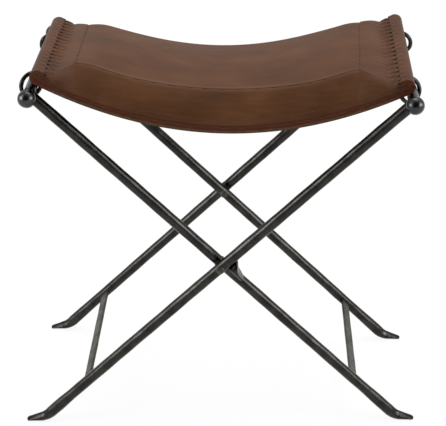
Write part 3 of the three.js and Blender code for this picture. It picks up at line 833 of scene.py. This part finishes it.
def top_seam_y(x, seam):
    """Distance of a top seam from the middle plane: it bows out by a half sine, moves late to its place at
    the cross seam, and spreads evenly from there to the strip's full width."""
    start, bow, end, full, full_reach = seam
    reach = np.abs(x)
    cross = cross_seam(x)
    share = np.minimum(reach / cross, 1)
    bowed = start + bow * np.sin(np.pi * share ** 2) + (end - start) * share ** 8
    return bowed + (full - end) * np.clip((reach - cross) / (full_reach - cross), 0, 1)


def pad_outline(x, seam):
    """Half section of the pad at each x, from the lower edge to the crown's middle: y, and height over the
    base's underside. The face lies between a slant and a quarter round, and the top is a parabola."""
    x = x[:, None]
    high = pad_high(x)
    seam_y = top_seam_y(x, seam)
    cross = cross_seam(x)
    past = np.clip((np.abs(x) - cross) / (cover_reach - cross), 0, 1)
    bulge = 0.22 + 0.7 * past
    crown = crown_height * (1 - 0.65 * np.minimum(np.abs(x) / cross, 1) ** 2)
    bed = upright(x, leather)
    side = np.full_like(x, seat_half_depth)
    low = np.minimum(seam_height, high)
    hem_y = side - 0.9 * np.sin(np.pi * (0.15 + 0.85 * hem_share))
    hem_z = bed + (low - bed) * hem_share
    turn = face_share * np.pi / 2
    slant_y = side + (seam_y - side) * face_share
    slant_z = low + (high - low) * face_share
    face_y = slant_y + bulge * (seam_y + (side - seam_y) * np.cos(turn) - slant_y)
    face_z = slant_z + bulge * (low + (high - low) * np.sin(turn) - slant_z)
    top_y = seam_y * (1 - top_share)
    top_z = high + crown * (1 - (top_y / seam_y) ** 2)
    return np.concatenate([hem_y, face_y, top_y], 1), np.concatenate([hem_z, face_z, top_z], 1)


def pad_form():
    """Grid of the pad (row along X, column from front to back) before it swells. The rows near the right
    cross seam turn about the middle, as this seam lies a little askew."""
    x = pad_rows()
    askew = smooth(x, 60, right_cross_seam) - smooth(x, right_cross_seam, cover_reach)
    halves = []
    for side, seam in ((-1, front_seam), (1, back_seam)):
        y, high = pad_outline(x, seam)
        place = x[:, None] + cross_seam_skew * askew[:, None] * side * y / seam[0]
        halves.append(xyz(place, side * y, underside(place) + high))
    return hung(np.concatenate([halves[0], halves[1][:, -2::-1]], 1))


def closed_below(grid, steps):
    """Rings of a grid whose two long edges are joined below in even steps."""
    share = np.linspace(0, 1, steps + 1)[1:-1][None, :, None]
    return np.concatenate([grid, grid[:, -1:] * (1 - share) + grid[:, :1] * share], 1)


def surface_normals(points):
    """Outward normals of a grid: the cross product of its two directions."""
    return unit(np.cross(*np.gradient(points, axis=(0, 1))))


def blurred(values, width, axis):
    """Moving average over `width` samples along an axis, with the end values repeated."""
    margin = [(0, 0), (0, 0)]
    margin[axis] = (width // 2, width - 1 - width // 2)
    even = np.full(width, 1 / width)
    return np.apply_along_axis(np.convolve, axis, np.pad(values, margin, mode="edge"), even, "valid")


def held_share(cloud):
    """How firmly the pad's leather is held, from 0 to 1: fully at the hem and the sleeves, and by bell
    curves 4 mm wide along the top and cross seams."""
    x = cloud[:, 0] - seat_shift
    y = cloud[:, 1]
    high = cloud[:, 2] - underside(x) - twist_rise * (x / seat_rod_reach) * (y / seat_half_depth)
    hem = 1 - smooth(high, seam_height + 1, seam_height + 6)
    end = smooth(np.abs(x), cover_reach - 16, cover_reach - 8)
    upper = smooth(high, 0.75 * pad_high(x), 0.9 * pad_high(x))
    seam_y = np.where(y < 0, top_seam_y(x, front_seam), top_seam_y(x, back_seam))
    top = upper * bell(np.abs(y) - seam_y, 4)
    across = upper * bell(np.abs(x) - cross_seam(x), 4)
    return np.max([hem, end, 0.95 * top, 0.95 * across], 0)


def wrapped(form, body):
    """The form's points moved along its normals onto the surface of a body."""
    faces = grid_faces(*form.shape[:2])[:, ::-1]
    pattern = mesh_piece("pad_pattern", form.reshape(-1, 3), faces, closed=False)
    follow = pattern.modifiers.new("follow", "SHRINKWRAP")
    put(follow, target=body, wrap_method="PROJECT", project_limit=2 * swell_cap * MM)
    put(follow, use_negative_direction=True, use_positive_direction=True)
    worked_in(pattern)
    points = coordinates(pattern.data).reshape(form.shape)
    bpy.data.objects.remove(pattern)
    return points


def swollen(form):
    """The form after its leather has swelled: a voxel copy, held at hem, sleeves and seams, is blown up as
    cloth, its movement is capped, and the form's points rise as far as it has swelled."""
    body = mesh_piece("pad_as_cloth", *skin(closed_below(form[::3, ::4], 13)))
    put(body.modifiers.new("voxels", "REMESH"), mode="VOXEL", voxel_size=5 * MM)
    worked_in(body)
    before = wrapped(form, body)
    still = coordinates(body.data)
    held = body.vertex_groups.new(name="held")
    shares = held_share(still).round(1)
    for level in np.unique(shares):
        held.add(np.flatnonzero(shares == level).tolist(), float(level), "REPLACE")
    cloth = body.modifiers.new("leather", "CLOTH")
    put(cloth.settings, quality=6, mass=0.4, shear_stiffness=12, bending_stiffness=3)
    put(cloth.settings, tension_stiffness=25, compression_stiffness=25)
    put(cloth.settings, vertex_group_mass="held", use_pressure=True, uniform_pressure_force=4)
    cloth.settings.effector_weights.gravity = 0
    cloth.point_cache.frame_end = 20
    for number in range(1, 21):
        bpy.context.scene.frame_set(number)
    seen = body.evaluated_get(bpy.context.evaluated_depsgraph_get())
    moved = coordinates(seen.data) - still
    length = np.linalg.norm(moved, axis=1, keepdims=True)
    moved = moved * np.minimum(1, swell_cap / np.maximum(length, 1e-6))
    body.modifiers.clear()
    bpy.context.scene.frame_set(1)
    body.data.vertices.foreach_set("co", ((still + moved) * MM).astype(np.float32).ravel())
    body.data.update()
    after = wrapped(form, body)
    bpy.data.objects.remove(body)
    normals = surface_normals(form)
    reach = np.abs(pad_rows())[:, None]
    free = smooth(np.arange(form.shape[1]), seam_column, seam_column + 12)
    free = free * free[::-1] * (1 - smooth(reach, cover_reach - 14, cover_reach - 6))
    lift = np.einsum("ijk,ijk->ij", after - before, normals) * free
    lift = blurred(blurred(lift, 9, 1), 9, 1)
    print("pad swells by", lift.min().round(2), "to", lift.max().round(2), "mm")
    return form + blurred(lift, 5, 0)[..., None] * normals


def pad_surface():
    """Grid of the finished cover, its normals, how dark each point is painted at the seams, and how far it
    is rubbed. The seam darkening is partly the joints' own dark colour and partly painted shade in the seam
    grooves, in the stitch holes and in the pucker folds. Seams are bell shaped grooves, and puckers are a
    cosine along the whip seam that fades inboard."""
    x = pad_rows()
    grid = swollen(pad_form())
    normals = surface_normals(grid)
    steps = np.linalg.norm(np.diff(grid, axis=1), axis=-1)
    run = np.concatenate([np.zeros((len(x), 1)), np.cumsum(steps, 1)], 1)
    column = np.arange(grid.shape[1])
    edge_line, top_line = [
        np.abs(run[..., None] - run[:, None, [seam, last_column - seam]]).min(-1)
        for seam in (seam_column, top_seam_column)
    ]
    reach = np.abs(x)[:, None]
    cross = cross_seam(x)[:, None]
    inside = 1 - smooth(reach, cross, cross + 2)
    on_top = (column >= top_seam_column) & (column <= last_column - top_seam_column)
    on_face = (column > seam_column) & (column < last_column - seam_column)
    lift = -0.5 * bell(edge_line, 0.8)
    lift -= 0.9 * bell(top_line, 0.8) * inside
    lift -= 0.35 * bell(reach - cross, 0.9) * np.where(on_top, 1, np.exp(-top_line / 2))
    lift -= 0.25 * bell(edge_line - face_line, 0.8) * on_face * inside
    inboard = cover_reach - reach
    y = grid[..., 1]
    drawn = smooth(inboard, -1, 2) * bell(np.maximum(inboard - whip_bite, 0), pucker_reach)
    shoulder = np.where(on_top, 1, bell(top_line, 7)) * smooth(edge_line, 2, 10)
    wave = np.cos(2 * np.pi * y / whip_pitch)
    lift -= pucker_height * wave * drawn * shoulder
    lift = lift + 0.9 * smooth(inboard, -0.6, 1.6) - 0.5
    from_stitch = np.abs((y / whip_pitch + 0.5) % 1 - 0.5) * whip_pitch
    holes = bell(inboard - whip_bite, 1.3) * bell(from_stitch, 1.6)
    lift -= 0.35 * holes * shoulder
    # Painted shade: darker in the seam grooves (together with the joints' own dark colour), at the stitch
    # holes and in the hollows of the puckers.
    lines = 0.75 * bell(edge_line, 0.9) + 0.5 * bell(top_line, 0.6) * inside
    lines += 0.15 * bell(reach - cross, 0.6) * on_top
    painted_fold_shade = 0.2 * drawn * smooth(wave, 0.2, 1)
    seam_dark_and_painted_shade = np.clip(lines + (0.25 * holes + painted_fold_shade) * shoulder, 0, 1)
    rubbed = 0.2 * bell(top_line - 2.5, 2) * inside
    return grid + lift[..., None] * normals, normals, seam_dark_and_painted_shade, rubbed


def at_surface(grid, row, column):
    """Bilinear value of a grid at fractional rows and columns."""
    row, column = np.broadcast_arrays(row, column)
    r = np.clip(np.floor(row).astype(int), 0, grid.shape[0] - 2)
    c = np.clip(np.floor(column).astype(int), 0, grid.shape[1] - 2)
    u = (row - r)[:, None]
    v = (column - c)[:, None]
    low = grid[r, c] * (1 - v) + grid[r, c + 1] * v
    high = grid[r + 1, c] * (1 - v) + grid[r + 1, c + 1] * v
    return low * (1 - u) + high * u


def make_cover(grid, seam_dark_and_painted_shade, rubbed):
    """Cover: the pad's surface closed below by a flat underside and at each end by a pole."""
    rows, columns = grid.shape[:2]
    rings = closed_below(grid, 7)
    points, quads, caps = skin(rings)
    cover = mesh_piece("padded_cover", points, quads, caps, sharp=70)
    sides = rings.shape[1]
    number = np.tile(np.arange(sides), rows - 1)
    hem = (number < seam_column) | (number >= last_column - seam_column)
    paint(cover.data, np.append(hem, np.zeros(len(caps), bool)))
    # Point values for the material: seam darkening (the joints' own colour plus painted shade) and the
    # rubbed tone.
    for name, values in (("seam_dark_and_painted_shade", seam_dark_and_painted_shade), ("rubbed", rubbed)):
        padded = np.zeros((rows, sides))
        padded[:, :columns] = values
        store(cover.data, name, np.append(padded.ravel(), [0, 0]))
    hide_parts("cover_leather", "foam_pad")
    finish_seat(cover, "cover_leather", seat_leather, red_edge)


def make_stitches(name, start, end, out, radius, rise, material):
    """Threads from each start to its end. The centre line rises by a half sine along `out` and sinks by a
    radius at both ends, where the round section closes by a root of 1 - t^6."""
    step = np.linspace(0, 1, 7)
    height = rise * np.sin(np.pi * step) - radius * (2 * step - 1) ** 4
    along = end - start
    centre = start[:, None] + along[:, None] * step[None, :, None] + out[:, None] * height[None, :, None]
    beside = unit(np.cross(along, out))
    thick = radius * np.sqrt(np.maximum(1 - (2 * step - 1) ** 6, 0.05))[None, :, None, None]
    rings = centre[:, :, None] + thick * around(circle(6), beside[:, None, None], out[:, None, None])
    stitches = mesh_piece(name, *skin(rings))
    finish_seat(stitches, "cover_leather", material)


def make_whip_seam(grid, normals, side, word):
    """Whip stitches between the shoulders, each from the cover over to the sleeve's lap."""
    inner_row = row_of(side * (cover_reach - whip_bite))
    seam_row = row_of(side * (cover_reach - 0.2))
    column = np.arange(grid.shape[1])
    line = at_surface(grid, inner_row, column)
    number = np.arange(math.ceil(whip_span[0] / whip_pitch), math.floor(whip_span[1] / whip_pitch) + 1)
    place = np.interp(number * whip_pitch, line[:, 1], column)
    start = at_surface(grid, inner_row, place)
    edge = at_surface(grid, seam_row, place)
    out = unit(at_surface(normals, inner_row, place))
    slope = np.array([side * math.cos(end_slope), 0, math.sin(end_slope)])
    lean = xyz(0, rng.normal(0.8, 0.5, len(place)), 0)
    end = edge + slope * whip_reach + out * 0.6 + lean
    make_stitches(f"whip_stitches_{word}", start, end, out, 0.8, 0.6, thread)


def make_seams(grid, normals):
    """Threads of all seams, placed on the cover by row (along X) and column (across)."""
    columns = np.arange(grid.shape[1])

    def at_y(row, y):
        """Columns of the upper surface that lie at y on one row."""
        return np.interp(y, at_surface(grid, row, columns)[:, 1], columns)

    def sew(name, first, last, between, *form):
        """Stitches between two sets of (row, column), raised along the normals of a third."""
        out = unit(at_surface(normals, *between))
        make_stitches(name, at_surface(grid, *first), at_surface(grid, *last), out, *form)

    for word, side in flanks:
        make_whip_seam(grid, normals, side, word)
        y = np.arange(-front_seam[2] + 3, back_seam[2] - 4, cross_pitch)
        row = row_of(side * (cross_seam(side) + 0.6))
        low, high = (row, at_y(row, y)), (row, at_y(row, y + cross_stitch))
        sew(f"cross_seam_{word}", low, high, low, 0.7, 0.4, thread)
    for (word, side), rise in zip(ends, (0.35, -0.1)):
        column = top_seam_column if side < 0 else last_column - top_seam_column
        x = np.arange(-left_cross_seam + 5, right_cross_seam - dash_length - 2, dash_pitch)
        start, centre, end = [(row_of(x + share * dash_length), column) for share in (0, 0.5, 1)]
        sew(f"top_seam_{word}", start, end, centre, 0.55, rise, dark_thread)
        x = np.arange(-cover_reach + 8, cover_reach - 10, face_pitch)
        runs = np.array([face_column(grid, row, column, side) for row in row_of(x)])
        start, end = (row_of(x), runs), (row_of(x + face_stitch), runs)
        sew(f"face_stitches_{word}", start, end, start, 0.32, 0.12, pale_thread)


def face_column(grid, row, top_column, side):
    """Column of the face that lies `face_line` above the hem seam on one row."""
    hem = seam_column if side < 0 else last_column - seam_column
    columns = np.arange(hem, top_column, -side)
    line = at_surface(grid, row, columns)
    run = np.concatenate([[0], np.cumsum(np.linalg.norm(np.diff(line, axis=0), axis=1))])
    return np.interp(face_line, run, columns)


def make_seat():
    make_base_leather()
    make_sleeve_ends()
    grid, normals, seam_dark_and_painted_shade, rubbed = pad_surface()
    make_cover(grid, seam_dark_and_painted_shade, rubbed)
    make_seams(grid, normals)


# Studio

def make_floor():
    """Pale floor: glowing white to the camera and in reflections, mixed with 15 percent of diffuse white
    that keeps the stool's shadow, and all diffuse to other light."""
    far = 40
    mesh = bpy.data.meshes.new("floor")
    mesh.from_pydata([(-far, -far, 0), (far, -far, 0), (far, far, 0), (-far, far, 0)], [], [(0, 1, 2, 3)])
    floor = linked("floor", mesh)
    material = bpy.data.materials.new("pale studio floor")
    material.use_nodes = True
    tree = material.node_tree
    tree.nodes.clear()
    path = add(tree, "ShaderNodeLightPath").outputs
    seen = maths(tree, "MAXIMUM", path["Is Camera Ray"], path["Is Glossy Ray"])
    seen = maths(tree, "MAXIMUM", seen, path["Is Transmission Ray"])
    diffuse = add(tree, "ShaderNodeBsdfDiffuse", {"Color": linear("#f4f4f4")}).outputs[0]
    glow = add(tree, "ShaderNodeEmission", {"Color": (1, 1, 1, 1), "Strength": 1.06}).outputs[0]
    share = maths(tree, "MULTIPLY", seen, 0.85)
    mixed = add(tree, "ShaderNodeMixShader", {0: share, 1: diffuse, 2: glow}).outputs[0]
    add(tree, "ShaderNodeOutputMaterial", {"Surface": mixed})
    floor.data.materials.append(material)


def make_world():
    """White to the camera, and to other rays a white room with a dark opening in front."""
    world = bpy.data.worlds.new("studio")
    bpy.context.scene.world = world
    world.use_nodes = True
    tree = world.node_tree
    tree.nodes.clear()
    direction = add(tree, "ShaderNodeTexCoord").outputs["Generated"]
    opening = Vector((0, -0.87, 0.49))
    facing = add(tree, "ShaderNodeVectorMath", {0: direction, 1: opening}, operation="DOT_PRODUCT")
    level = remap(tree, facing.outputs["Value"], 0.92, 0.55, 0.05, 0.8)
    path = add(tree, "ShaderNodeLightPath").outputs
    seen = maths(tree, "MAXIMUM", path["Is Camera Ray"], path["Is Transmission Ray"])
    strength = add(tree, "ShaderNodeMix", {0: seen, 2: level, 3: 1.0}, data_type="FLOAT").outputs[0]
    background = add(tree, "ShaderNodeBackground", {"Color": (1, 1, 1, 1), "Strength": strength}).outputs[0]
    add(tree, "ShaderNodeOutputWorld", {"Surface": background})


def softbox(name, place, size, watts, gleam=False):
    """Rectangular lamp turned to the stool. A gleam is seen only in reflections."""
    light = bpy.data.lights.new(name, "AREA")
    put(light, shape="RECTANGLE", size=size[0], size_y=size[1], energy=watts)
    turn = (Vector((0, 0, 0.3)) - Vector(place)).to_track_quat("-Z", "Y").to_euler()
    put(linked(name, light), location=place, visible_diffuse=not gleam, rotation_euler=turn)


def make_studio():
    make_floor()
    make_world()
    softbox("overhead softbox", (0.2, 0.5, 2.1), (1.4, 0.8), 11)
    softbox("left softbox", (-1.7, -0.7, 1.5), (0.5, 1.1), 7)
    softbox("right softbox", (1.8, -0.5, 1.4), (0.5, 1.1), 6)
    softbox("left gleam", (-1.9, -0.75, 1.0), (1.5, 0.8), 21, gleam=True)
    softbox("right gleam", (1.9, -0.75, 1.0), (1.5, 0.8), 21, gleam=True)
    camera = linked("camera", bpy.data.cameras.new("camera"))
    put(camera.data, lens=106.0, sensor_width=36.0)
    turn = (math.radians(62.67), 0, math.radians(1.48))
    put(camera, location=(0.0409, -1.5583, 1.0632), rotation_euler=turn)
    bpy.context.scene.camera = camera
    bpy.context.scene.view_settings.view_transform = "Standard"


make_frames()
make_seat()
make_studio()
